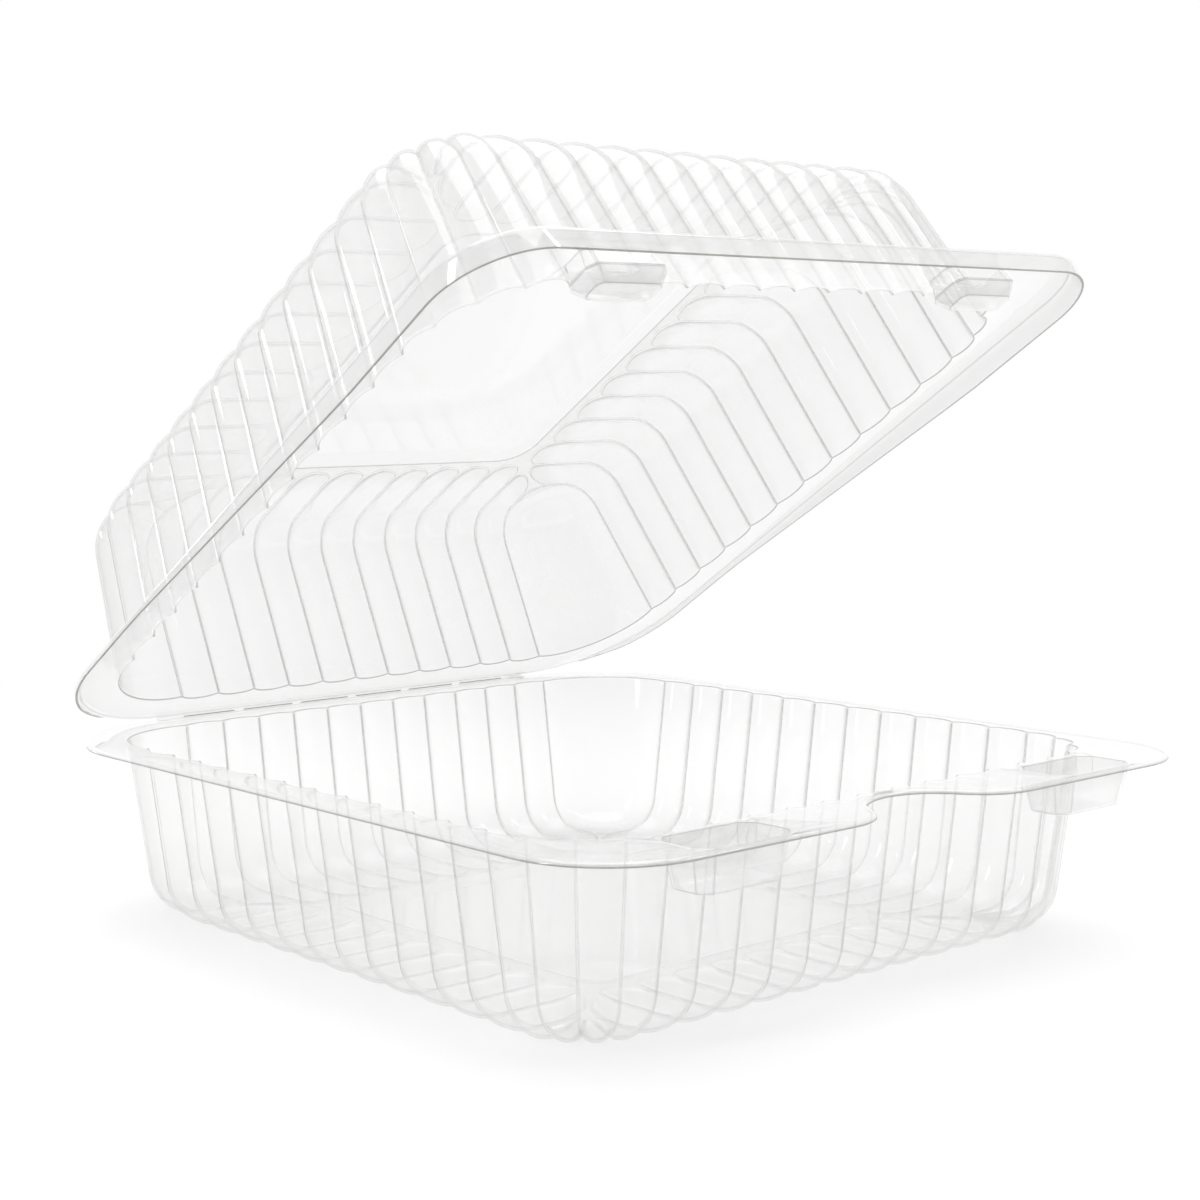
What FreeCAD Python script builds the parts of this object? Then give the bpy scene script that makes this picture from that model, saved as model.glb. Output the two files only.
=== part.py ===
import FreeCAD, Part
import math
import os

Vector = FreeCAD.Vector

# Plastic sheet that both halves are formed from
sheet = 0.45

# Outline of the pack at its rims
pack_width = 152.4
tray_front = 170.4
rim_height = 35.4
hinge_corner = 27.0
tray_front_corner = 19.0
lid_front_corner = 16.0

# Lid over the tray
lid_overhang = 1.3
closed_gap = 0.3
skirt_depth = 4.2
skirt_start = 30.0
skirt_run = 100.0
open_angle = 32.6

# Well of each half: mouth, walls and the flutes pressed into them
tray_depth = rim_height
lid_depth = 36.6
side_land = 8.6
hinge_land = 10.0
tray_front_land = 16.0
lid_front_land = 14.2
well_corner = 20.0
draft_angle = 7.5
shoulder_radius = 7.5
flute_depth = 1.5
flutes_a_wall = 11
flutes_a_corner = 4
facets_a_flute = 3
facets_a_bend = 6
finger_reach = 26.0
finger_end = 4.0
finger_round = 1.4
corner_reach = 0.85

# Field pressed down in the middle of each well's floor, between the finger tips
field_inset = 32.0
field_corner = 7.0
field_drop = 1.3
field_bevel = 3.0

# Finger gap between the two lobes of the tray's front rim
gap_half_width = 22.0
gap_depth = 13.0

# Snap locks: pockets in the tray's rim and hollow lugs under the lid's
lock_offset = 44.0
pocket_length = 20.0
pocket_width = 11.0
pocket_depth = 7.2
pocket_taper = 1.4
lug_clearance = 0.7
lug_neck = 0.8
lug_depth = 6.6
lug_ridge = 0.55
lug_end_taper = 1.6
lock_chamfer = 0.2

# Values worked out from the ones above
half_width = pack_width / 2
lid_half_width = half_width + lid_overhang
lid_front = tray_front + lid_overhang
draft = math.tan(math.radians(draft_angle))
hinge_break = closed_gap / 2
lock_line = tray_front - tray_front_land / 2 + 1.0
crest_facets = facets_a_flute // 2
crest_share = 4 * crest_facets * (facets_a_flute - crest_facets) / facets_a_flute ** 2


def face(points):
    """Flat face with straight sides."""
    return Part.Face(Part.makePolygon(list(points) + [points[0]]))


def patch(a, b, c, d):
    """Four-cornered piece of skin, as one flat face where its corners lie in a plane."""
    out_of_plane = (b - a).cross(c - a).normalize().dot(d - a)
    if abs(out_of_plane) < 1e-6:
        return [face([a, b, c, d])]
    return [face([a, b, c]), face([a, c, d])]


def band(lower, upper):
    """Skin between two closed rings of points that have the same count."""
    patches = []
    for i in range(len(lower)):
        j = (i + 1) % len(lower)
        patches += patch(lower[i], lower[j], upper[j], upper[i])
    return patches


def flute_bulge(across):
    """How far a flute stands out, from 0 at its edges to 1 on its crest."""
    return min(1, 4 * across * (1 - across) / crest_share)


def straight_stations(start, end, facing):
    """Points along a straight wall's mouth: place, facing, bulge and how far its fingers reach."""
    length = math.dist(start, end)
    stations = []
    for step in range(flutes_a_wall * facets_a_flute):
        along = step / (flutes_a_wall * facets_a_flute)
        across = (step % facets_a_flute) / facets_a_flute
        x = start[0] + (end[0] - start[0]) * along
        y = start[1] + (end[1] - start[1]) * along
        to_corner = length * min(along, 1 - along)
        reach = min(finger_reach, corner_reach * well_corner + to_corner)
        stations.append((x, y, facing, flute_bulge(across), reach))
    return stations


def corner_stations(centre, facing, flutes, facets):
    """Points round a quarter bend of the mouth, which starts square to the wall before it."""
    stations = []
    for step in range(flutes * facets):
        across = (step % facets) / facets
        bulge = flute_bulge(across)
        turn = math.radians(facing + 90 * step / (flutes * facets))
        x = centre[0] + well_corner * math.cos(turn)
        y = centre[1] + well_corner * math.sin(turn)
        stations.append((x, y, math.degrees(turn), bulge, corner_reach * well_corner))
    return stations


def mouth_stations(half, front, back):
    """Every station round a well's mouth, counter-clockwise from its front left corner."""
    left, right = -half + well_corner, half - well_corner
    near, far = front + well_corner, back - well_corner
    stations = straight_stations((left, front), (right, front), -90)
    stations += corner_stations((right, near), -90, flutes_a_corner, facets_a_flute)
    stations += straight_stations((half, near), (half, far), 0)
    stations += corner_stations((right, far), 0, 1, facets_a_bend)
    stations += straight_stations((right, back), (left, back), 90)
    stations += corner_stations((left, far), 90, 1, facets_a_bend)
    stations += straight_stations((-half, far), (-half, near), 180)
    stations += corner_stations((left, near), 180, flutes_a_corner, facets_a_flute)
    return stations


def well_profile(depth):
    """Wall from mouth to floor: inset, depth, and the outward direction that flutes bulge in."""
    floor = depth - flute_depth - sheet
    lean = math.radians(draft_angle)
    bend_depth = floor - shoulder_radius
    bend_inset = (bend_depth + shoulder_radius * math.sin(lean)) * draft + shoulder_radius * math.cos(lean)
    rings = [(0, 0, 1, 0)]
    for turn in (lean, (lean + math.pi / 2) / 2, math.pi / 2):
        inset = bend_inset - shoulder_radius * math.cos(turn)
        rings.append((inset, bend_depth + shoulder_radius * math.sin(turn), math.cos(turn), math.sin(turn)))
    return rings


def ring(stations, profile, thickness):
    """One ring of a skin: thickness is 0 inside the well and the sheet's outside it."""
    inset, depth, outward, down = profile
    points = []
    for x, y, facing, bulge, reach in stations:
        push = (flute_depth * bulge + thickness) * outward - inset
        drop = depth + (flute_depth * bulge + thickness) * down
        turn = math.radians(facing)
        points.append(Vector(x + push * math.cos(turn), y + push * math.sin(turn), -drop))
    return points


def finger_rings(stations, floor, thickness):
    """The two rings at the flutes' ends on the floor: where they start to fade, and their tips."""
    fade, tips = [], []
    for x, y, facing, bulge, reach in stations:
        turn = math.radians(facing)
        start = reach - finger_end
        end = reach + finger_round * bulge
        drop = floor + flute_depth * bulge + thickness
        fade.append(Vector(x - start * math.cos(turn), y - start * math.sin(turn), -drop))
        tips.append(Vector(x - end * math.cos(turn), y - end * math.sin(turn), -floor - thickness))
    return fade, tips


def rounded_ring(half, front, back, corner, level):
    """Rounded rectangle as points, for the field in the middle of a well."""
    points = []
    bends = ((half, front, -90), (half, back, 0), (-half, back, 90), (-half, front, 180))
    for x, y, facing in bends:
        cx = x - math.copysign(corner, x)
        cy = y + corner if y == front else y - corner
        for step in range(facets_a_bend + 1):
            turn = math.radians(facing + 90 * step / facets_a_bend)
            points.append(Vector(cx + corner * math.cos(turn), cy + corner * math.sin(turn), level))
    return points


def well(half, front, back, depth):
    """Both skins of a well that opens upwards at z = 0, with the two rings of its mouth."""
    stations = mouth_stations(half, front, back)
    floor = depth - flute_depth - sheet
    faces, mouths = [], []
    for thickness in (0, sheet):
        rings = [ring(stations, profile, thickness) for profile in well_profile(depth)]
        rings[0] = [Vector(point.x, point.y, -thickness) for point in rings[0]]
        rings += finger_rings(stations, floor, thickness)
        for lower, upper in zip(rings, rings[1:]):
            faces += band(lower, upper)
        sides = half - field_inset, front + field_inset, back - field_inset
        outer = rounded_ring(*sides, field_corner, -floor - thickness)
        sides = half - field_inset - field_bevel, front + field_inset + field_bevel, back - field_inset - field_bevel
        inner = rounded_ring(*sides, field_corner - field_bevel, -floor - thickness - field_drop)
        faces += band(outer, inner)
        faces.append(face(inner))
        faces.append(plate(rings[-1], [outer]))
        mouths.append(rings[0])
    return faces, mouths


def plate(outline, holes):
    """Flat face with holes; outline and holes are rings of points or wires."""
    wires = []
    for edge in [outline] + holes:
        wires.append(edge if isinstance(edge, Part.Wire) else Part.makePolygon(edge + [edge[0]]))
    return Part.makeFace(wires, "Part::FaceMakerBullseye")


def lock_ring(x, y, length, width, level):
    """Section of a lock: a rectangle with its four corners cut off."""
    cut = lock_chamfer * width
    points = []
    for sx, sy in ((1, -1), (1, 1), (-1, 1), (-1, -1)):
        side = Vector(x + sx * length / 2, y + sy * (width / 2 - cut), level)
        end = Vector(x + sx * (length / 2 - cut), y + sy * width / 2, level)
        points += [side, end] if sx == sy else [end, side]
    return points


def lock_skin(sections):
    """One skin of a lock, closed at its last section."""
    faces = []
    for lower, upper in zip(sections, sections[1:]):
        faces += band(lower, upper)
    faces.append(face(sections[-1]))
    return faces


def closed_solid(faces):
    """Solid from the faces that enclose it."""
    shell = Part.makeShell(faces)
    shell.sewShape()
    solid = Part.makeSolid(Part.Shell(shell.Faces))
    if solid.Volume < 0:
        solid.reverse()
    return solid


def arc(centre, radius, start, end):
    """Arc in the rim's plane between two directions in degrees, counter-clockwise or back."""
    points = []
    for turn in (start, (start + end) / 2, end):
        angle = math.radians(turn)
        points.append(Vector(centre[0] + radius * math.cos(angle), centre[1] + radius * math.sin(angle), 0))
    return Part.Arc(*points).toShape()


def joined(arcs):
    """Closed wire from arcs in order, with straight runs between their ends."""
    edges = []
    for one, following in zip(arcs, arcs[1:] + arcs[:1]):
        edges.append(one)
        start, end = one.lastVertex(True).Point, following.firstVertex(True).Point
        if start.distanceToPoint(end) > 1e-6:
            edges.append(Part.makeLine(start, end))
    return Part.Wire(edges)


def tray_outline():
    """Rim of the tray: round corners, and a lobe on each side of the finger gap."""
    bend = (gap_half_width ** 2 + gap_depth ** 2) / (4 * gap_depth)
    sweep = math.degrees(math.asin(gap_half_width / 2 / bend))
    front, back = -tray_front, -hinge_break
    near = (half_width - tray_front_corner, front + tray_front_corner)
    far = (half_width - hinge_corner, back - hinge_corner)
    arcs = [
        arc((-gap_half_width, front + bend), bend, 270, 270 + sweep),
        arc((0, front + gap_depth - bend), bend, 90 + sweep, 90 - sweep),
        arc((gap_half_width, front + bend), bend, 270 - sweep, 270),
        arc(near, tray_front_corner, 270, 360),
        arc(far, hinge_corner, 0, 90),
        arc((-far[0], far[1]), hinge_corner, 90, 180),
        arc((-near[0], near[1]), tray_front_corner, 180, 270),
    ]
    return joined(arcs)


def base_tray():
    """Lower half: fluted tray with a flat rim and the two lock pockets."""
    faces, mouths = well(half_width - side_land, tray_front_land - tray_front, -hinge_land, tray_depth)
    outline = tray_outline()
    rims = [outline, outline.copy()]
    rims[1].translate(Vector(0, 0, -sheet))
    holes = [[mouths[0]], [mouths[1]]]
    for side in (-1, 1):
        for index, thickness in enumerate((0, sheet)):
            grow = 2 * thickness
            mouth = (pocket_length + grow, pocket_width + grow, -thickness)
            end = (mouth[0] - 2 * pocket_taper, mouth[1] - 2 * pocket_taper, -pocket_depth - thickness)
            sections = [lock_ring(side * lock_offset, -lock_line, *size) for size in (mouth, end)]
            faces += lock_skin(sections)
            holes[index].append(sections[0])
    for rim, rim_holes in zip(rims, holes):
        faces.append(plate(rim, rim_holes))
    faces += outline.extrude(Vector(0, 0, -sheet)).Faces
    tray = closed_solid(faces)
    tray.translate(Vector(0, 0, rim_height))
    return tray


def lid_outline(inset):
    """Rim of the lid, drawn in by an inset."""
    half, front, back = lid_half_width - inset, inset - lid_front, -hinge_break - inset
    corner, bend = lid_front_corner - inset, hinge_corner + lid_overhang - inset
    arcs = [
        arc((half - corner, front + corner), corner, 270, 360),
        arc((half - bend, back - bend), bend, 0, 90),
        arc((bend - half, back - bend), bend, 90, 180),
        arc((corner - half, front + corner), corner, 180, 270),
    ]
    return joined(arcs)


def skirt():
    """Turned edge of the lid: full height round the front, and fading out before the hinge."""
    wall = Vector(0, 0, skirt_depth + sheet)
    outer, inner = (Part.Face(lid_outline(inset)) for inset in (0, sheet))
    edge = outer.extrude(wall).cut(inner.extrude(wall))
    edge.translate(Vector(0, 0, -sheet))
    fade, over = skirt_start + skirt_run, skirt_depth + 1
    side = [(-fade, over), (-fade, skirt_depth), (-skirt_start, 0), (1, 0), (1, over)]
    waste = face([Vector(-pack_width, y, z) for y, z in side]).extrude(Vector(2 * pack_width, 0, 0))
    return edge.cut(waste)


def lug_skin(side, thickness):
    """One skin of a lug, from the lid's rim out to its closed end: narrow neck, ridge, tapered end."""
    ridge_level = lug_ridge * lug_depth
    ridge_trim = 2 * (lug_clearance + pocket_taper * lug_ridge + thickness)
    sections = []
    for level, trim in (
        (-thickness, ridge_trim + 2 * lug_neck),
        (ridge_level, ridge_trim),
        (lug_depth - thickness, ridge_trim + 2 * lug_end_taper),
    ):
        sections.append(lock_ring(side * lock_offset, -lock_line, pocket_length - trim, pocket_width - trim, level))
    return sections


def lid():
    """Upper half, made lying open beside the tray and then swung over about the hinge line."""
    faces, mouths = well(half_width - side_land, lid_front_land - tray_front, -hinge_land, lid_depth)
    outline = lid_outline(sheet)
    for thickness, mouth in zip((0, sheet), mouths):
        holes = [mouth]
        for side in (-1, 1):
            sections = lug_skin(side, thickness)
            faces += lock_skin(sections)
            holes.append(sections[0])
        rim = outline.copy()
        rim.translate(Vector(0, 0, -thickness))
        faces.append(plate(rim, holes))
    faces += outline.extrude(Vector(0, 0, -sheet)).Faces
    top = closed_solid(faces).fuse(skirt())
    top.rotate(Vector(0, 0, 0), Vector(0, 0, 1), 180)
    top.translate(Vector(0, 0, rim_height))
    top.rotate(Vector(0, 0, rim_height + hinge_break), Vector(1, 0, 0), 180 - open_angle)
    return top


pieces = {"base_tray": base_tray(), "lid": lid()}
middle = Part.Compound(list(pieces.values())).BoundBox.Center.y

os.makedirs("parts", exist_ok=True)
for name, piece in pieces.items():
    piece.translate(Vector(0, -middle, 0))
    piece.exportStep(f"parts/{name}.step")
    print(name, piece.isValid(), len(piece.Solids), round(piece.Volume), piece.BoundBox)
print("hinge line at y", round(-middle, 4), "z", rim_height + hinge_break)
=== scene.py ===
import math

import bmesh
import bpy
from mathutils import Matrix, Vector
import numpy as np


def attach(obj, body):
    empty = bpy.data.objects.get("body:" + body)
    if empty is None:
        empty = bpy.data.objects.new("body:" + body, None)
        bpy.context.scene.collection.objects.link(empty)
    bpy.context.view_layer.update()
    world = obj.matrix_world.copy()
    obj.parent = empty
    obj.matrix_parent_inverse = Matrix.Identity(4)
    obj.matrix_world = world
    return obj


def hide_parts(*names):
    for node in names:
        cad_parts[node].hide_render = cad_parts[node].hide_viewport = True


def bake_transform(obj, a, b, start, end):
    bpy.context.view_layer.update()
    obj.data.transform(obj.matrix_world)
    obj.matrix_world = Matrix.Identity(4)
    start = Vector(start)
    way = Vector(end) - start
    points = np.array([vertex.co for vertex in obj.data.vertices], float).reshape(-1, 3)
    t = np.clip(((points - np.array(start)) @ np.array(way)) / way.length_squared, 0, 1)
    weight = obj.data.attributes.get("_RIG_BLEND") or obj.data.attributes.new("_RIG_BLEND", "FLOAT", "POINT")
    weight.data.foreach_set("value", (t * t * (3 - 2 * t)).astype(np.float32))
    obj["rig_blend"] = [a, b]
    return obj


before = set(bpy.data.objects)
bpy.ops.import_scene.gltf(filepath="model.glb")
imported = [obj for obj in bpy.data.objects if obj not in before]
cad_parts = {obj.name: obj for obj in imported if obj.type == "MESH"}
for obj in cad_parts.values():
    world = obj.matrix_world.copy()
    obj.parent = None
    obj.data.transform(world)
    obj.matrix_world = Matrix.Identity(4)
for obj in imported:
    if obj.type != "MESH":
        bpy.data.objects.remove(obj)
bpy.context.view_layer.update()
scene = bpy.context.scene
scene.view_settings.view_transform = "Standard"
# A ray may pass every face of the thin sheets in its way, and bounces little otherwise.
scene.cycles.transparent_max_bounces = 48
scene.cycles.max_bounces = 3
scene.cycles.glossy_bounces = 1
scene.cycles.diffuse_bounces = 1

# Camera
# It stands low in front of the pack and to its left, level with the lid, and looks a little down.
heading, pitch, roll = math.radians(41.285), math.radians(-5.624), math.radians(-0.441)
ahead = Vector((math.sin(heading) * math.cos(pitch), math.cos(heading) * math.cos(pitch), math.sin(pitch)))
level = Vector((math.cos(heading), -math.sin(heading), 0))
upward = level.cross(ahead)
right = level * math.cos(roll) + upward * math.sin(roll)
above = upward * math.cos(roll) - level * math.sin(roll)
camera_data = bpy.data.cameras.new("camera")
camera_data.sensor_width = 36
camera_data.lens = 64.55
camera_data.clip_start = 0.02
camera = bpy.data.objects.new("camera", camera_data)
turned = Matrix((right, above, -ahead)).transposed().to_4x4()
camera.matrix_world = Matrix.Translation((-0.2723, -0.3123, 0.1036)) @ turned
scene.collection.objects.link(camera)
scene.camera = camera

# Floor
# A plain white table that runs on into a white backdrop, and takes the pack's soft shadow.
floor_finish = bpy.data.materials.new("white_table")
floor_finish.use_nodes = True
nodes, links = floor_finish.node_tree.nodes, floor_finish.node_tree.links
nodes.clear()
seen = nodes.new("ShaderNodeLightPath")
matt = nodes.new("ShaderNodeBsdfDiffuse")
matt.inputs["Color"].default_value = (0.95, 0.95, 0.95, 1)
white = nodes.new("ShaderNodeEmission")
white.inputs["Strength"].default_value = 1
spot = nodes.new("ShaderNodeTexCoord")
distance = nodes.new("ShaderNodeVectorMath")
distance.operation = "LENGTH"
away = nodes.new("ShaderNodeMapRange")
away.interpolation_type = "SMOOTHSTEP"
away.inputs["From Min"].default_value = 0.16
away.inputs["From Max"].default_value = 0.4
links.new(spot.outputs["Object"], distance.inputs[0])
links.new(distance.outputs["Value"], away.inputs["Value"])
fading = nodes.new("ShaderNodeMixShader")
links.new(away.outputs["Result"], fading.inputs[0])
links.new(matt.outputs[0], fading.inputs[1])
links.new(white.outputs[0], fading.inputs[2])
straight = nodes.new("ShaderNodeMath")
straight.operation = "MAXIMUM"
looked_at = nodes.new("ShaderNodeMath")
looked_at.operation = "MAXIMUM"
links.new(seen.outputs["Is Camera Ray"], straight.inputs[0])
links.new(seen.outputs["Is Glossy Ray"], straight.inputs[1])
links.new(straight.outputs[0], looked_at.inputs[0])
links.new(seen.outputs["Is Transmission Ray"], looked_at.inputs[1])
shown = nodes.new("ShaderNodeMixShader")
links.new(looked_at.outputs[0], shown.inputs[0])
links.new(matt.outputs[0], shown.inputs[1])
links.new(fading.outputs[0], shown.inputs[2])
out = nodes.new("ShaderNodeOutputMaterial")
links.new(shown.outputs[0], out.inputs[0])

floor_mesh = bpy.data.meshes.new("floor")
floor_mesh.from_pydata([(-30, -30, 0), (30, -30, 0), (30, 30, 0), (-30, 30, 0)], [], [(0, 1, 2, 3)])
floor_mesh.materials.append(floor_finish)
floor = bpy.data.objects.new("floor", floor_mesh)
scene.collection.objects.link(floor)

# Light
# White surroundings, which the sheet mirrors a little darker on the camera's side. A wide soft lamp hangs
# overhead, a narrow one on each side draws the streaks on the flutes, and a small one stands behind.
world = bpy.data.worlds.new("white_room")
world.use_nodes = True
scene.world = world
nodes, links = world.node_tree.nodes, world.node_tree.links
nodes.clear()
seen = nodes.new("ShaderNodeLightPath")
room = nodes.new("ShaderNodeBackground")
room.inputs["Color"].default_value = (1, 1, 1, 1)
room.inputs["Strength"].default_value = 0.67
backdrop = nodes.new("ShaderNodeBackground")
backdrop.inputs["Color"].default_value = (1, 1, 1, 1)
backdrop.inputs["Strength"].default_value = 1
# What the sheet mirrors: white all round, but dusky on the camera's side, which draws its dark outlines.
reflected = nodes.new("ShaderNodeBackground")
reflected.inputs["Strength"].default_value = 1
aim = nodes.new("ShaderNodeTexCoord")
toward = nodes.new("ShaderNodeVectorMath")
toward.operation = "DOT_PRODUCT"
toward.inputs[1].default_value = (-0.65, -0.75, 0.1)
dusk = nodes.new("ShaderNodeMapRange")
dusk.interpolation_type = "SMOOTHSTEP"
for socket, value in (("From Min", -0.2), ("From Max", 0.7), ("To Min", 1.0), ("To Max", 0.48)):
    dusk.inputs[socket].default_value = value
links.new(aim.outputs["Generated"], toward.inputs[0])
links.new(toward.outputs["Value"], dusk.inputs["Value"])
links.new(dusk.outputs["Result"], reflected.inputs["Color"])
straight = nodes.new("ShaderNodeMath")
straight.operation = "MAXIMUM"
mirrored = nodes.new("ShaderNodeMixShader")
chosen = nodes.new("ShaderNodeMixShader")
out = nodes.new("ShaderNodeOutputWorld")
links.new(seen.outputs["Is Camera Ray"], straight.inputs[0])
links.new(seen.outputs["Is Transmission Ray"], straight.inputs[1])
links.new(seen.outputs["Is Glossy Ray"], mirrored.inputs[0])
links.new(room.outputs[0], mirrored.inputs[1])
links.new(reflected.outputs[0], mirrored.inputs[2])
links.new(straight.outputs[0], chosen.inputs[0])
links.new(mirrored.outputs[0], chosen.inputs[1])
links.new(backdrop.outputs[0], chosen.inputs[2])
links.new(chosen.outputs[0], out.inputs[0])

for name, place, width, height, power in (
    ("lamp_above", (0.1, 0.1, 0.9), 0.9, 0.9, 4.6),
    ("lamp_left", (-0.9, 0.2, 0.45), 0.12, 0.6, 1.8),
    ("lamp_right", (0.55, -0.42, 0.85), 0.06, 0.5, 0.7),
    ("lamp_behind", (-0.28, 1.05, 0.2), 0.25, 0.05, 0.24),
):
    lamp_data = bpy.data.lights.new(name, "AREA")
    lamp_data.shape = "RECTANGLE"
    lamp_data.size = width
    lamp_data.size_y = height
    lamp_data.energy = power
    lamp = bpy.data.objects.new(name, lamp_data)
    lamp.location = place
    lamp.rotation_euler = (Vector((0, 0, 0.05)) - Vector(place)).to_track_quat("-Z", "Y").to_euler()
    lamp.visible_camera = False
    scene.collection.objects.link(lamp)

# Tray
# The lower half of the pack: a fluted well with a flat rim and two lock pockets, drawn from one clear
# plastic sheet in a heated mould.

# Sizes are in millimetres, with the hinge line at y = 0 and the rim at z = 0.
sheet = 0.45
half_width = 76.2
rim_front = 170.4
rim_height = 35.4
hinge_corner = 27.0
closed_gap = 0.3
hinge_y = 82.2116
flute_depth = 1.5
flute_roundness = math.radians(68)
flutes_a_wall = 11
flutes_a_corner = 4
well_corner = 20.0
draft = math.radians(7.5)
shoulder = 7.5
mouth_round = 0.6
finger_reach = 26.0
finger_end = 5.0
finger_round = 3.2
# The marks and lines below are strengths of painted shade lines: at the flutes' edges, the mouth, the
# shoulders, the floor and the finger tips, and a greyer painted band at the floor's margin.
mark_sharpness = 45.0
tip_mark = 0.3
margin_mark = 0.12
shoulder_line = 0.7
shoulder_line_end = 0.12
floor_line = 0.1
floor_outline_shade = 0.28
mouth_mark = 1.0
side_land = 8.6
hinge_land = 10.0
front_land = 16.0
lip_start = 4.0
lip_run = 8.0
lock_offset = 44.0
lock_from_edge = 7.0
lock_edge = 0.18
# Strength of the painted shade line at the locks' corners.
corner_mark = 0.45
tray_veil = 0.25

# Places across one flute, closer together at its edges, and across a corner without flutes.
flute_steps = [
    (1 + math.sin(share * flute_roundness) / math.sin(flute_roundness)) / 2
    for share in (-1, -0.97, -0.86, -0.7, -0.48, -0.24, 0, 0.24, 0.48, 0.7, 0.86, 0.97)
]
bend_steps = [0, 0.004, 0.016] + [step / 24 for step in range(1, 24)] + [0.984, 0.996]


def mouth_stations(half, front, back):
    """Stations round a well's mouth, counter-clockwise.

    Each is x, y, facing, place across its flute, how far its finger reaches, and how round its finger ends.
    """
    left, right = well_corner - half, half - well_corner
    near, far = front + well_corner, back - well_corner
    runs = (
        ((left, front), (right, front), -90, flutes_a_wall),
        ((right, near), None, -90, flutes_a_corner),
        ((half, near), (half, far), 0, flutes_a_wall),
        ((right, far), None, 0, 1),
        ((right, back), (left, back), 90, flutes_a_wall),
        ((left, far), None, 90, 1),
        ((-half, far), (-half, near), 180, flutes_a_wall),
        ((left, near), None, 180, flutes_a_corner),
    )
    stations = []
    for start, end, facing, flutes in runs:
        for flute in range(flutes):
            for across in bend_steps if flutes == 1 else flute_steps:
                along = (flute + across) / flutes
                turn = math.radians(facing if end else facing + 90 * along)
                if end:
                    x = start[0] + (end[0] - start[0]) * along
                    y = start[1] + (end[1] - start[1]) * along
                    to_corner = math.dist(start, end) * min(along, 1 - along)
                    end_round = finger_round
                else:
                    x = start[0] + well_corner * math.cos(turn)
                    y = start[1] + well_corner * math.sin(turn)
                    to_corner = 0
                    end_round = finger_round / 3
                reach = min(finger_reach, 0.8 * well_corner + to_corner)
                stations.append((x, y, turn, across, reach, end_round))
    return stations


def wall_rows(depth):
    """Rows down a well's wall: inset, drop, press outwards and down, fold mark, line mark and outline shade
    weight; the marks are painted shade lines, and the weight sets a painted dark outline.
    """
    floor = depth - flute_depth - sheet
    bend_drop = floor - shoulder
    bend_inset = (bend_drop + shoulder * math.sin(draft)) * math.tan(draft) + shoulder * math.cos(draft)
    rows = []
    # The mouth gets a painted shade line, and the shoulder's painted shade lines fade out towards the floor.
    for step, fold in enumerate((0, mouth_mark, 0, 0)):
        turn = (math.pi / 2 - draft) * step / 3
        inset = -mouth_round * (1 - math.sin(turn))
        drop = mouth_round * (1 - math.cos(turn))
        rows.append((inset, drop, 1, 0, fold, 1, step / 3))
    for step in (0.3, 0.65):
        inset = (bend_inset - shoulder * math.cos(draft)) * step
        drop = mouth_round + (bend_drop + shoulder * math.sin(draft) - mouth_round) * step
        rows.append((inset, drop, 1, 0, 0, 1 - 0.25 * step, 1))
    for step in range(9):
        turn = draft + (math.pi / 2 - draft) * step / 8
        inset = bend_inset - shoulder * math.cos(turn)
        drop = bend_drop + shoulder * math.sin(turn)
        line = shoulder_line + (shoulder_line_end - shoulder_line) * step / 8
        outline_shade_weight = 1 - (1 - floor_outline_shade) * step / 8
        rows.append((inset, drop, math.cos(turn), math.sin(turn), 0, line, outline_shade_weight))
    return rows, floor


def finished_mesh(piece):
    """A plain mesh of a piece with its modifiers applied."""
    graph = bpy.context.evaluated_depsgraph_get()
    shaped = piece.evaluated_get(graph)
    return bpy.data.meshes.new_from_object(shaped, preserve_all_data_layers=True, depsgraph=graph)


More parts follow.
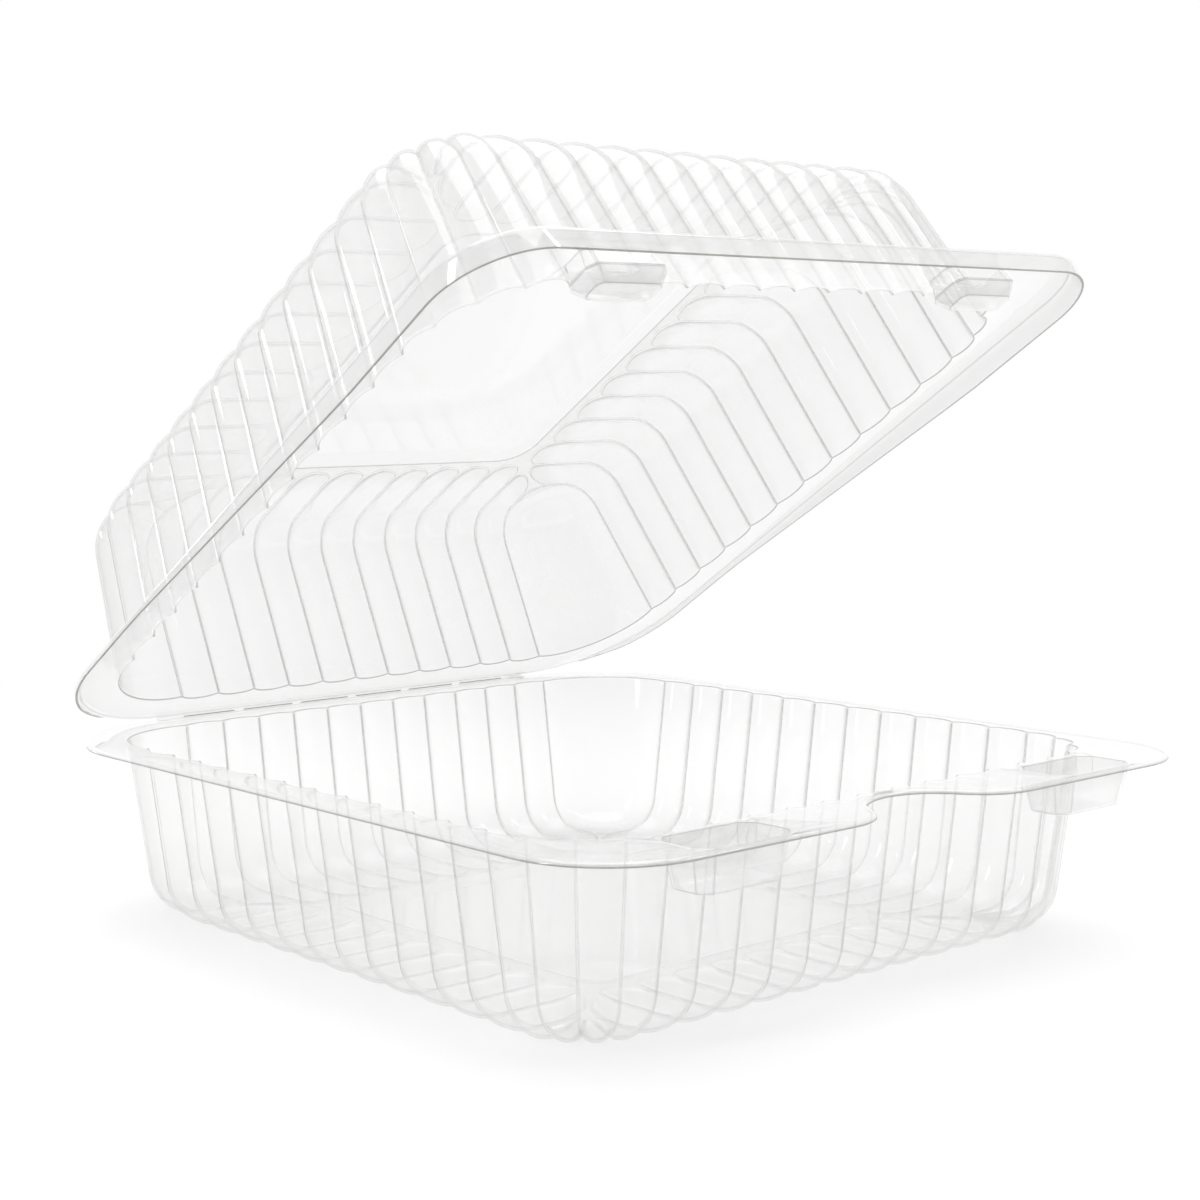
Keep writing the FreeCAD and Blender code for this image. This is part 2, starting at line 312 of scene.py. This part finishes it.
def fluted_wall(name, half, front, back, depth, finish):
    """A well's wall and the fingers on its floor, with the flutes pressed in.

    Gives the mesh, how many stations are round it, and how deep its floor lies.
    """
    stations = mouth_stations(half, front, back)
    rows, floor = wall_rows(depth)
    points, press, across_all, folds, lines, outline_shades = [], [], [], [], [], []
    for inset, drop, outward, down, fold, line, outline_shade_weight in rows:
        for x, y, turn, across, reach, end_round in stations:
            points.append((x - inset * math.cos(turn), y - inset * math.sin(turn), -drop))
            press.append((outward * math.cos(turn), outward * math.sin(turn), -down))
            across_all.append(across)
            folds.append(fold)
            lines.append(line)
            outline_shades.append(outline_shade_weight)
    # The finger rows end in a painted shade line at the tip, with a greyer painted band at the margin and
    # painted outline shade on the finger zone.
    for step in (0, 0.2, 0.42, 0.64, 0.82, 0.94, 0.985, 1, 1.03):
        for x, y, turn, across, reach, end_round in stations:
            run = reach - finger_end * (1 - step)
            push = -min(step, 1) * end_round / flute_depth
            points.append((x - run * math.cos(turn), y - run * math.sin(turn), -floor))
            press.append((push * math.cos(turn), push * math.sin(turn), -math.sqrt(max(0, 1 - step ** 2))))
            across_all.append(across)
            folds.append(tip_mark if step == 1 else margin_mark * min(1, step / 0.6))
            lines.append(floor_line)
            outline_shades.append(floor_outline_shade)
    count = len(stations)
    faces = []
    for row in range(len(points) // count - 1):
        for i in range(count):
            j = (i + 1) % count
            faces.append((row * count + i, row * count + j, (row + 1) * count + j, (row + 1) * count + i))
    mesh = bpy.data.meshes.new(name)
    mesh.from_pydata(points, [], faces)
    for layer, kind, key, values in (
        ("press", "FLOAT_VECTOR", "vector", [value for vector in press for value in vector]),
        ("across", "FLOAT", "value", across_all),
        ("fold", "FLOAT", "value", folds),
        ("line", "FLOAT", "value", lines),
        ("outline_shade", "FLOAT", "value", outline_shades),
    ):
        mesh.attributes.new(layer, kind, "POINT").data.foreach_set(key, values)
    wall = bpy.data.objects.new(name, mesh)
    scene.collection.objects.link(wall)
    pressed = wall.modifiers.new("flutes", "NODES")
    pressed.node_group = flute_press
    for socket, value in (
        ("Flute depth", flute_depth),
        ("Roundness", flute_roundness),
        ("Mark", mark_sharpness),
        ("Sheet finish", finish),
    ):
        pressed[flute_press.interface.items_tree[socket].identifier] = value
    fluted = finished_mesh(wall)
    bpy.data.objects.remove(wall)
    return fluted, count, floor


def flute_press_tree():
    """Presses flutes into a wall: each point moves along its press arrow, most in the middle of a flute."""
    tree = bpy.data.node_groups.new("flute_press", "GeometryNodeTree")
    tree.is_modifier = True
    for socket, kind in (
        ("Geometry", "NodeSocketGeometry"),
        ("Flute depth", "NodeSocketFloat"),
        ("Roundness", "NodeSocketFloat"),
        ("Mark", "NodeSocketFloat"),
        ("Sheet finish", "NodeSocketMaterial"),
    ):
        tree.interface.new_socket(socket, in_out="INPUT", socket_type=kind)
    tree.interface.new_socket("Pressed", in_out="OUTPUT", socket_type="NodeSocketGeometry")
    given = tree.nodes.new("NodeGroupInput")
    result = tree.nodes.new("NodeGroupOutput")

    def sums(operation, *values):
        node = tree.nodes.new("ShaderNodeMath")
        node.operation = operation
        for socket, value in zip(node.inputs, values):
            if isinstance(value, (int, float)):
                socket.default_value = value
            else:
                tree.links.new(value, socket)
        return node.outputs[0]

    def stored(name, kind):
        node = tree.nodes.new("GeometryNodeInputNamedAttribute")
        node.data_type = kind
        node.inputs["Name"].default_value = name
        return node.outputs["Attribute"]

    # A flute is an arc: its height falls from 1 in the middle to 0 at its two edges.
    off_middle = sums("MULTIPLY_ADD", stored("across", "FLOAT"), 2.0, -1.0)
    leaning = sums("MULTIPLY", off_middle, sums("SINE", given.outputs["Roundness"]))
    arc_height = sums("SQRT", sums("SUBTRACT", 1.0, sums("MULTIPLY", leaning, leaning)))
    edge_height = sums("COSINE", given.outputs["Roundness"])
    height = sums("DIVIDE", sums("SUBTRACT", arc_height, edge_height), sums("SUBTRACT", 1.0, edge_height))
    push = tree.nodes.new("ShaderNodeVectorMath")
    push.operation = "SCALE"
    tree.links.new(stored("press", "FLOAT_VECTOR"), push.inputs[0])
    tree.links.new(sums("MULTIPLY", height, given.outputs["Flute depth"]), push.inputs["Scale"])
    moved = tree.nodes.new("GeometryNodeSetPosition")
    tree.links.new(given.outputs["Geometry"], moved.inputs["Geometry"])
    tree.links.new(push.outputs[0], moved.inputs["Offset"])
    # Painted shade line at a sharp bend in the sheet: strong on the line between two flutes, gone beside it.
    line = sums("POWER", sums("MAXIMUM", sums("SUBTRACT", 1.0, height), 0.0), given.outputs["Mark"])
    line = sums("MULTIPLY", line, stored("line", "FLOAT"))
    marked = tree.nodes.new("GeometryNodeStoreNamedAttribute")
    marked.data_type = "FLOAT"
    marked.domain = "POINT"
    marked.inputs["Name"].default_value = "painted_line_shade"
    tree.links.new(moved.outputs[0], marked.inputs["Geometry"])
    tree.links.new(sums("MAXIMUM", line, stored("fold", "FLOAT")), marked.inputs["Value"])
    real = tree.nodes.new("GeometryNodeRealizeInstances")
    tree.links.new(marked.outputs[0], real.inputs[0])
    finished = tree.nodes.new("GeometryNodeSetMaterial")
    tree.links.new(real.outputs[0], finished.inputs["Geometry"])
    tree.links.new(given.outputs["Sheet finish"], finished.inputs["Material"])
    tree.links.new(finished.outputs[0], result.inputs[0])
    return tree


def sheet_shade_and_waves():
    """What a formed sheet's surface shows: painted shade at its bends and edge-on, its haze, darkened by
    painted shade in the bends, and its slight waves.
    """
    group = bpy.data.node_groups.new("sheet_shade_and_waves", "ShaderNodeTree")
    for socket, kind in (
        ("Clear", "NodeSocketColor"),
        ("Bend", "NodeSocketColor"),
        ("Edge-on", "NodeSocketColor"),
        ("Facing", "NodeSocketFloat"),
        ("Wave size", "NodeSocketFloat"),
        ("Wave height", "NodeSocketFloat"),
    ):
        group.interface.new_socket(socket, in_out="INPUT", socket_type=kind)
    for socket, kind in (
        ("Tint", "NodeSocketColor"),
        ("Veil", "NodeSocketColor"),
        ("Normal", "NodeSocketVector"),
    ):
        group.interface.new_socket(socket, in_out="OUTPUT", socket_type=kind)
    nodes, links = group.nodes, group.links
    given = nodes.new("NodeGroupInput")
    result = nodes.new("NodeGroupOutput")
    painted_line_shade = nodes.new("ShaderNodeAttribute")
    painted_line_shade.attribute_name = "painted_line_shade"
    edge_on = nodes.new("ShaderNodeMix")
    edge_on.data_type = "RGBA"
    links.new(given.outputs["Facing"], edge_on.inputs["Factor"])
    links.new(given.outputs["Clear"], edge_on.inputs["A"])
    links.new(given.outputs["Edge-on"], edge_on.inputs["B"])
    bend = nodes.new("ShaderNodeMix")
    bend.data_type = "RGBA"
    links.new(painted_line_shade.outputs["Fac"], bend.inputs["Factor"])
    links.new(edge_on.outputs["Result"], bend.inputs["A"])
    links.new(given.outputs["Bend"], bend.inputs["B"])
    links.new(bend.outputs["Result"], result.inputs["Tint"])
    # The veil's colour is darkened along the painted shade lines.
    dimmed = nodes.new("ShaderNodeMix")
    dimmed.data_type = "RGBA"
    dimmed.inputs["A"].default_value = (0.9, 0.9, 0.9, 1)
    dimmed.inputs["B"].default_value = (0.4, 0.39, 0.38, 1)
    links.new(painted_line_shade.outputs["Fac"], dimmed.inputs["Factor"])
    links.new(dimmed.outputs["Result"], result.inputs["Veil"])
    place = nodes.new("ShaderNodeTexCoord")
    waves = nodes.new("ShaderNodeTexNoise")
    waves.inputs["Detail"].default_value = 2
    links.new(place.outputs["Object"], waves.inputs["Vector"])
    links.new(given.outputs["Wave size"], waves.inputs["Scale"])
    relief = nodes.new("ShaderNodeBump")
    links.new(given.outputs["Wave height"], relief.inputs["Distance"])
    links.new(waves.outputs["Fac"], relief.inputs["Height"])
    links.new(relief.outputs["Normal"], result.inputs["Normal"])
    return group


def clear_sheet(name, clear, bend, edge_on, veil_share):
    """Clear plastic sheet: a film that mirrors a little, with painted shade in its bends and edge-on."""
    finish = bpy.data.materials.new(name)
    finish.use_nodes = True
    nodes, links = finish.node_tree.nodes, finish.node_tree.links
    nodes.clear()
    marks = nodes.new("ShaderNodeGroup")
    marks.node_tree = shade_and_waves_group
    for socket, value in (
        ("Clear", clear),
        ("Bend", bend),
        ("Edge-on", edge_on),
        ("Wave size", 60.0),
        ("Wave height", 0.00005),
    ):
        marks.inputs[socket].default_value = value
    turned = nodes.new("ShaderNodeLayerWeight")
    turned.inputs["Blend"].default_value = 0.5
    grazing = nodes.new("ShaderNodeMath")
    grazing.operation = "POWER"
    grazing.inputs[1].default_value = 4.0
    links.new(turned.outputs["Facing"], grazing.inputs[0])
    # Painted dark outline: the tint darkens edge-on, weighted by the outline shade set on the flutes, the
    # shoulders and the finger zone of the floor.
    outline_shade = nodes.new("ShaderNodeAttribute")
    outline_shade.attribute_name = "outline_shade"
    outline = nodes.new("ShaderNodeMath")
    outline.operation = "MULTIPLY"
    links.new(grazing.outputs[0], outline.inputs[0])
    links.new(outline_shade.outputs["Fac"], outline.inputs[1])
    links.new(outline.outputs[0], marks.inputs["Facing"])
    # Behind other sheets its tints and painted shade show more faintly.
    ray = nodes.new("ShaderNodeLightPath")
    behind = nodes.new("ShaderNodeMapRange")
    for socket, value in (
        ("From Min", 0.5),
        ("From Max", 2.0),
        ("To Min", 0.0),
        ("To Max", 0.78),
    ):
        behind.inputs[socket].default_value = value
    links.new(ray.outputs["Transparent Depth"], behind.inputs["Value"])
    softened = nodes.new("ShaderNodeMix")
    softened.data_type = "RGBA"
    softened.inputs["B"].default_value = (1, 1, 1, 1)
    links.new(behind.outputs["Result"], softened.inputs["Factor"])
    links.new(marks.outputs["Tint"], softened.inputs["A"])
    through = nodes.new("ShaderNodeBsdfTransparent")
    links.new(softened.outputs["Result"], through.inputs["Color"])
    # The faint white veil of light that the formed sheet scatters, darkened in a bend by painted shade.
    veil = nodes.new("ShaderNodeBsdfDiffuse")
    glow = nodes.new("ShaderNodeBsdfTranslucent")
    links.new(marks.outputs["Veil"], veil.inputs["Color"])
    links.new(marks.outputs["Veil"], glow.inputs["Color"])
    two_sided = nodes.new("ShaderNodeMixShader")
    two_sided.inputs[0].default_value = 0.5
    links.new(veil.outputs[0], two_sided.inputs[1])
    links.new(glow.outputs[0], two_sided.inputs[2])
    veiled = nodes.new("ShaderNodeMixShader")
    veiled.inputs[0].default_value = veil_share
    links.new(through.outputs[0], veiled.inputs[1])
    links.new(two_sided.outputs[0], veiled.inputs[2])
    gloss = nodes.new("ShaderNodeBsdfPrincipled")
    gloss.inputs["Base Color"].default_value = (0.97, 0.97, 0.97, 1)
    gloss.inputs["Metallic"].default_value = 1
    gloss.inputs["Roughness"].default_value = 0.07
    links.new(marks.outputs["Normal"], gloss.inputs["Normal"])
    # How much it mirrors: little head on and most edge-on, but less where the outline shade weight is set,
    # for a painted dark outline.
    most = nodes.new("ShaderNodeMath")
    most.operation = "MULTIPLY_ADD"
    most.inputs[1].default_value = -0.4
    most.inputs[2].default_value = 0.9
    links.new(outline_shade.outputs["Fac"], most.inputs[0])
    mirror = nodes.new("ShaderNodeMapRange")
    mirror.inputs["To Min"].default_value = 0.06
    links.new(most.outputs[0], mirror.inputs["To Max"])
    links.new(grazing.outputs[0], mirror.inputs["Value"])
    shiny = nodes.new("ShaderNodeMixShader")
    links.new(mirror.outputs[0], shiny.inputs[0])
    links.new(veiled.outputs[0], shiny.inputs[1])
    links.new(gloss.outputs[0], shiny.inputs[2])
    # The sheet's second surface only tints, and lamps shine through both.
    side = nodes.new("ShaderNodeNewGeometry")
    plain = nodes.new("ShaderNodeBsdfTransparent")
    plain.inputs["Color"].default_value = (0.993, 0.993, 0.992, 1)
    sided = nodes.new("ShaderNodeMixShader")
    links.new(side.outputs["Backfacing"], sided.inputs[0])
    links.new(shiny.outputs[0], sided.inputs[1])
    links.new(plain.outputs[0], sided.inputs[2])
    lamplight = nodes.new("ShaderNodeBsdfTransparent")
    shade = nodes.new("ShaderNodeMapRange")
    shade.inputs["To Min"].default_value = 0.965
    shade.inputs["To Max"].default_value = 0.4
    links.new(grazing.outputs[0], shade.inputs["Value"])
    links.new(shade.outputs["Result"], lamplight.inputs["Color"])
    lit = nodes.new("ShaderNodeMixShader")
    links.new(ray.outputs["Is Shadow Ray"], lit.inputs[0])
    links.new(sided.outputs[0], lit.inputs[1])
    links.new(lamplight.outputs[0], lit.inputs[2])
    out = nodes.new("ShaderNodeOutputMaterial")
    links.new(lit.outputs[0], out.inputs[0])
    return finish


flute_press = flute_press_tree()
shade_and_waves_group = sheet_shade_and_waves()
clear_tint = (0.968, 0.968, 0.967, 1)
# Painted shade: the bend colour darkens the sheet along its painted shade lines.
bend_shade = (0.42, 0.41, 0.40, 1)
# Painted shade: the edge-on colour darkens the sheet's outlines.
edge_on_shade = (0.45, 0.44, 0.43, 1)
# Painted shade: the cut edge is painted dark, darker still edge-on.
cut_shade = (0.3, 0.28, 0.26, 1)
tray_finish = clear_sheet("clear_sheet_tray", clear_tint, bend_shade, edge_on_shade, tray_veil)
edge_shade_material = clear_sheet("cut_edge", cut_shade, cut_shade, (0.25, 0.24, 0.22, 1), 0.12)


def arc_points(centre, radius, start, end, steps):
    """Points along an arc in the rim's plane, between two directions in degrees."""
    points = []
    for step in range(steps + 1):
        turn = math.radians(start + (end - start) * step / steps)
        points.append((centre[0] + radius * math.cos(turn), centre[1] + radius * math.sin(turn)))
    return points


def tray_rim(inset):
    """The tray's rim drawn in by an inset, counter-clockwise from the left end of its finger gap."""
    gap_half, gap_depth = 22.0, 13.0
    front_corner = 19.0
    bend = (gap_half ** 2 + gap_depth ** 2) / (4 * gap_depth)
    sweep = math.degrees(math.asin(gap_half / 2 / bend))
    near = (half_width - front_corner, front_corner - rim_front)
    far = (half_width - hinge_corner, -closed_gap / 2 - hinge_corner)
    points = arc_points((-gap_half, bend - rim_front), bend - inset, 270, 270 + sweep, 12)[:-1]
    points += arc_points((0, gap_depth - bend - rim_front), bend + inset, 90 + sweep, 90 - sweep, 24)[:-1]
    points += arc_points((gap_half, bend - rim_front), bend - inset, 270 - sweep, 270, 12)
    points += arc_points(near, front_corner - inset, 270, 360, 24)
    points += arc_points(far, hinge_corner - inset, 0, 90, 28)
    points += arc_points((-far[0], far[1]), hinge_corner - inset, 90, 180, 28)
    points += arc_points((-near[0], near[1]), front_corner - inset, 180, 270, 24)
    return points


def ring_of(mesh, points, painted_line_shade=0.0, outline_shade_weight=0.0):
    """New vertices of a bmesh from points, with their painted shade line and the weight of their painted
    dark outline.
    """
    mark, outline_shade = mesh.verts.layers.float["painted_line_shade"], mesh.verts.layers.float["outline_shade"]
    ring = []
    for point in points:
        vertex = mesh.verts.new(point)
        vertex[mark] = painted_line_shade
        vertex[outline_shade] = outline_shade_weight
        ring.append(vertex)
    return ring


def band(mesh, one, other):
    """Faces between two rings of vertices."""
    for i in range(len(one)):
        j = (i + 1) % len(one)
        mesh.faces.new((one[i], one[j], other[j], other[i]))


def loop_edges(mesh, ring):
    """The edges of a closed ring of vertices."""
    edges = []
    for one, following in zip(ring, ring[1:] + ring[:1]):
        edges.append(mesh.edges.get((one, following)) or mesh.edges.new((one, following)))
    return edges


def plate(mesh, *rings):
    """Flat piece of sheet between an outline and the holes in it."""
    edges = [edge for ring in rings for edge in loop_edges(mesh, ring)]
    bmesh.ops.triangle_fill(mesh, edges=edges, use_beauty=True, use_dissolve=False, normal=(0, 0, 1))


def field_ring(half, front, back, corner, level):
    """Rounded rectangle in the middle of a well's floor."""
    points = []
    for x, y, facing in ((half, front, -90), (half, back, 0), (-half, back, 90), (-half, front, 180)):
        centre = (x - math.copysign(corner, x), y + corner if y == front else y - corner)
        points += [(px, py, level) for px, py in arc_points(centre, corner, facing, facing + 90, 10)]
    return points


def pressed_field(mesh, tips, half, front, back, floor):
    """The floor's flat margin inside the finger tips, and the field pressed down in its middle."""
    inset, corner, drop, bevel = 32.0, 7.0, 1.3, 3.6
    rings = []
    # The marks are painted shade: a greyer band at the margin and a dark line at the foot of the field's
    # bevel.
    for step, mark in zip(
        (-0.06, 0, 0.06, 0.14, 0.3, 0.45, 0.6, 0.75, 0.88, 1, 1.1),
        (margin_mark, 0.75, 0.03, 0, 0, 0, 0, 0, 0, 0, 0),
    ):
        grow = inset + bevel * step
        level = -floor - drop * math.sin(math.pi / 2 * min(1, max(0, step)))
        outline = field_ring(half - grow, front + grow, back - grow, corner - bevel * step, level)
        rings.append(ring_of(mesh, outline, mark, floor_outline_shade if step <= 0 else 0))
    for one, other in zip(rings, rings[1:]):
        band(mesh, one, other)
    mesh.faces.new(rings[-1])
    plate(mesh, tips, rings[0])


def lock_ring(mesh, x, y, length, width, level, mark):
    """Section of a lock: a rectangle with cut corners, which get a painted shade line, as all of it is in a
    bend.
    """
    cut = 0.2 * width
    corners = []
    for sx, sy in ((1, -1), (1, 1), (-1, 1), (-1, -1)):
        side = Vector((x + sx * length / 2, y + sy * (width / 2 - cut), level))
        end = Vector((x + sx * (length / 2 - cut), y + sy * width / 2, level))
        corners += [side, end] if sx == sy else [end, side]
    ring = []
    for i, corner in enumerate(corners):
        before = (corners[i - 1] - corner).normalized() * lock_edge
        after = (corners[(i + 1) % 8] - corner).normalized() * lock_edge
        ring += ring_of(mesh, [corner + before], mark)
        ring += ring_of(mesh, [corner], max(mark, corner_mark))
        ring += ring_of(mesh, [corner + after], mark)
    return ring


def lock(mesh, x, y, sections):
    """A hollow lock formed in a rim, closed at its last section; gives the ring of its mouth."""
    rings = [lock_ring(mesh, x, y, *section) for section in sections]
    for one, other in zip(rings, rings[1:]):
        band(mesh, one, other)
    mesh.faces.new(rings[-1])
    return rings[0]


def formed_sheet(name, mesh, wall, place, body, node):
    """Turns a half's one skin into sheet with two faces and a cut edge, in its place on its body."""
    bmesh.ops.remove_doubles(mesh, verts=mesh.verts, dist=0.02)
    bmesh.ops.recalc_face_normals(mesh, faces=mesh.faces)
    rim_faces = [face for face in mesh.faces if abs(face.calc_center_median().z) < 0.01]
    if sum(face.normal.z * face.calc_area() for face in rim_faces) < 0:
        bmesh.ops.reverse_faces(mesh, faces=mesh.faces)
    mesh.to_mesh(wall)
    mesh.free()
    wall.name = name
    piece = bpy.data.objects.new(name, wall)
    scene.collection.objects.link(piece)
    # The cut edge gets the painted dark edge material.
    wall.materials.append(edge_shade_material)
    wall.shade_smooth()
    thick = piece.modifiers.new("sheet", "SOLIDIFY")
    thick.thickness = sheet
    thick.offset = -1
    thick.material_offset_rim = 1
    solid = finished_mesh(piece)
    piece.modifiers.clear()
    piece.data = solid
    solid.transform(place @ Matrix.Scale(0.001, 4))
    solid.set_sharp_from_angle(angle=math.radians(38))
    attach(piece, body)
    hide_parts(node)
    return piece


well = (half_width - side_land, front_land - rim_front, -hinge_land)
wall, around, floor_drop = fluted_wall("tray", *well, rim_height, tray_finish)
skin = bmesh.new()
skin.from_mesh(wall)
skin.verts.ensure_lookup_table()
mouth, tips = skin.verts[:around], skin.verts[-around:]
pressed_field(skin, list(tips), *well, floor_drop)
holes = []
for side in (-1, 1):
    # The last number of each section is its painted shade line.
    pocket = (
        (20.9, 11.9, 0.0, 0.0),
        (20.5, 11.5, -0.05, 0.9),
        (20.3, 11.3, -0.2, 0.1),
        (19.9, 10.9, -0.6, 0.16),
        (19.0, 10.0, -2.7, 0.1),
        (18.5, 9.5, -3.9, 0.0),
        (17.3, 8.3, -6.9, 0.0),
        (17.1, 8.1, -7.1, 0.45),
        (16.8, 7.8, -7.2, 0.0),
        (16.0, 7.0, -7.2, 0.0),
    )
    holes.append(lock(skin, side * lock_offset, lock_from_edge - rim_front, pocket))
rim = []
# The last number of each ring is its painted shade line along the lip.
for inset, drop, mark in (
    (1.1, 0, 0),
    (0.75, 0.06, 0),
    (0.35, 0.3, 0),
    (0.08, 0.62, 0.3),
    (0, 0.8, 1),
    (0, 0.95, 1),
):
    lip = []
    for x, y in tray_rim(inset):
        turned_down = min(1, max(0, (-lip_start - y) / lip_run))
        lip.append((x, y, -drop * turned_down))
    rim.append(ring_of(skin, lip, mark))
for one, other in zip(rim, rim[1:]):
    band(skin, one, other)
plate(skin, rim[0], list(mouth), *holes)
tray_place = Matrix.Translation((0, hinge_y / 1000, rim_height / 1000))
formed_sheet("tray_sheet", skin, wall, tray_place, "tray", "base_tray")

# Lid
# The upper half, drawn from the same sheet: a deeper fluted dome, a rim with a turned-down skirt that
# fades out before the hinge, and two hollow lugs that snap into the tray's pockets.
lid_overhang = 1.3
lid_depth = 36.35
lid_front_land = 14.2
lid_front_corner = 16.0
open_angle = 32.6
skirt_start = 30.0
skirt_run = 100.0
skirt_least = 0.2
lid_veil = 0.28
lid_finish = clear_sheet("clear_sheet_lid", clear_tint, bend_shade, edge_on_shade, lid_veil)


def lid_rim(inset):
    """The lid's rim drawn in by an inset, counter-clockwise from its front right corner."""
    half = half_width + lid_overhang - inset
    front, back = inset - rim_front - lid_overhang, -closed_gap / 2 - inset
    corner, bend = lid_front_corner - inset, hinge_corner + lid_overhang - inset
    points = arc_points((half - corner, front + corner), corner, 270, 360, 20)
    points += arc_points((half - bend, back - bend), bend, 0, 90, 28)
    points += arc_points((bend - half, back - bend), bend, 90, 180, 28)
    points += arc_points((corner - half, front + corner), corner, 180, 270, 20)
    # Extra points down each side, where the skirt's height changes.
    finer = []
    for one, following in zip(points, points[1:] + points[:1]):
        finer.append(one)
        pieces = int(math.dist(one, following) // 8)
        for step in range(1, pieces + 1):
            share = step / (pieces + 1)
            x = one[0] + (following[0] - one[0]) * share
            y = one[1] + (following[1] - one[1]) * share
            finer.append((x, y))
    return finer


well = (half_width - side_land, lid_front_land - rim_front, -hinge_land - closed_gap)
wall, around, floor_drop = fluted_wall("lid", *well, lid_depth, lid_finish)
skin = bmesh.new()
skin.from_mesh(wall)
skin.verts.ensure_lookup_table()
mouth, tips = skin.verts[:around], skin.verts[-around:]
pressed_field(skin, list(tips), *well, floor_drop)
holes = []
for side in (-1, 1):
    # The last number of each section is its painted shade line.
    lug = (
        (16.4, 7.4, 0.0, 0.0),
        (16.0, 7.0, 0.05, 0.5),
        (15.6, 6.6, 0.4, 0.0),
        (16.9, 7.9, 3.2, 0.0),
        (17.06, 8.06, 3.4, 0.8),
        (17.06, 8.06, 3.55, 0.1),
        (17.06, 8.06, 3.7, 0.8),
        (16.9, 7.9, 3.85, 0.12),
        (14.1, 5.1, 5.9, 0.25),
        (13.86, 4.86, 6.1, 0.8),
        (13.5, 4.5, 6.15, 0.1),
        (12.9, 3.9, 6.15, 0.1),
    )
    holes.append(lock(skin, side * lock_offset, lock_from_edge - rim_front, lug))
rim = []
# The last number of each ring is its painted shade line along the rim and the skirt's edge.
for inset, rise, mark in (
    (1.0, 0, 0.12),
    (0.7, 0.06, 0.5),
    (0.3, 0.3, 0.1),
    (0.08, 0.65, 0.08),
    (0.0, 1.1, 0.08),
    (0.0, 4.05, 0.08),
    (0.0, 4.2, 1),
):
    lip = []
    for x, y in lid_rim(sheet + inset):
        full = min(1, max(0.0, (-y - skirt_start) / skirt_run))
        small = min(1, max(0.0, (-y - lip_start) / lip_run))
        lip.append((x, y, rise * max(full, skirt_least * small)))
    rim.append(ring_of(skin, lip, mark))
for one, other in zip(rim, rim[1:]):
    band(skin, one, other)
plate(skin, rim[0], list(mouth), *holes)
lid_place = Matrix.Translation((0, hinge_y / 1000, (rim_height + closed_gap / 2) / 1000))
lid_place = lid_place @ Matrix.Rotation(math.radians(180 - open_angle), 4, "X")
lid_place = lid_place @ Matrix.Translation((0, 0, -closed_gap / 2000)) @ Matrix.Rotation(math.pi, 4, "Z")
formed_sheet("lid_sheet", skin, wall, lid_place, "lid", "lid")

# Hinge
# The narrow strip of the same sheet that joins the two rims. It is scored with a row of dashes, so that it
# folds there, and it bends round as the lid swings. The dashes are drawn as painted shade lines.
hinge_half = half_width - hinge_corner
dash, dash_gap, dash_end = 12.6, 2.0, 0.2
strip_points, strip_faces, strip_dash_shade = [], [], []
strip_reach = 1.3
opened = math.radians(open_angle)
tray_edge = Vector((0, -strip_reach, 0.05))
lid_edge = Vector((0, -strip_reach * math.cos(opened), 0.25 + strip_reach * math.sin(opened)))
fold = [tray_edge, Vector((0, -0.5, 0.05)), Vector((0, -0.12, 0.07)), Vector((0, 0.0, 0.15))]
fold += [Vector((0, -0.1, 0.26)), Vector((0, -0.45, 0.5)), lid_edge]
dashes = int((2 * hinge_half + dash_gap) // (dash + dash_gap))
start = -(dashes * (dash + dash_gap) - dash_gap) / 2
dash_starts = [start + number * (dash + dash_gap) for number in range(dashes)]
stops = [-hinge_half]
for left in dash_starts:
    stops += [left, left + dash_end, left + dash - dash_end, left + dash]
stops.append(hinge_half)
# Scored parts of the strip get a painted shade line.
for x in stops:
    scored = any(left + dash_end / 2 < x < left + dash - dash_end / 2 for left in dash_starts)
    for place, mark in zip(fold, (0, 0, 1, 1, 1, 0, 0)):
        strip_points.append((x, place.y, place.z))
        strip_dash_shade.append(mark if scored else 0)
for column in range(len(stops) - 1):
    for row in range(len(fold) - 1):
        corner = column * len(fold) + row
        strip_faces.append((corner, corner + len(fold), corner + len(fold) + 1, corner + 1))
strip_mesh = bpy.data.meshes.new("hinge_strip")
strip_mesh.from_pydata(strip_points, [], strip_faces)
strip_mesh.attributes.new("painted_line_shade", "FLOAT", "POINT").data.foreach_set("value", strip_dash_shade)
strip_finish = clear_sheet("clear_sheet_hinge", clear_tint, bend_shade, edge_on_shade, lid_veil)
strip_mesh.materials.append(strip_finish)
strip_mesh.shade_smooth()
strip_mesh.transform(tray_place @ Matrix.Scale(0.001, 4))
hinge_strip = bpy.data.objects.new("hinge_strip", strip_mesh)
scene.collection.objects.link(hinge_strip)
thick = hinge_strip.modifiers.new("sheet", "SOLIDIFY")
thick.thickness = 0.0001
thick.offset = 0
hinge_strip.data = finished_mesh(hinge_strip)
hinge_strip.modifiers.clear()
fold_line = (0, hinge_y / 1000, (rim_height + closed_gap / 2) / 1000)
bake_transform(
    hinge_strip,
    "tray",
    "lid",
    start=(0, fold_line[1] - 0.0004, fold_line[2] - 0.0001),
    end=(0, fold_line[1] - 0.0004, fold_line[2] + 0.0002),
)
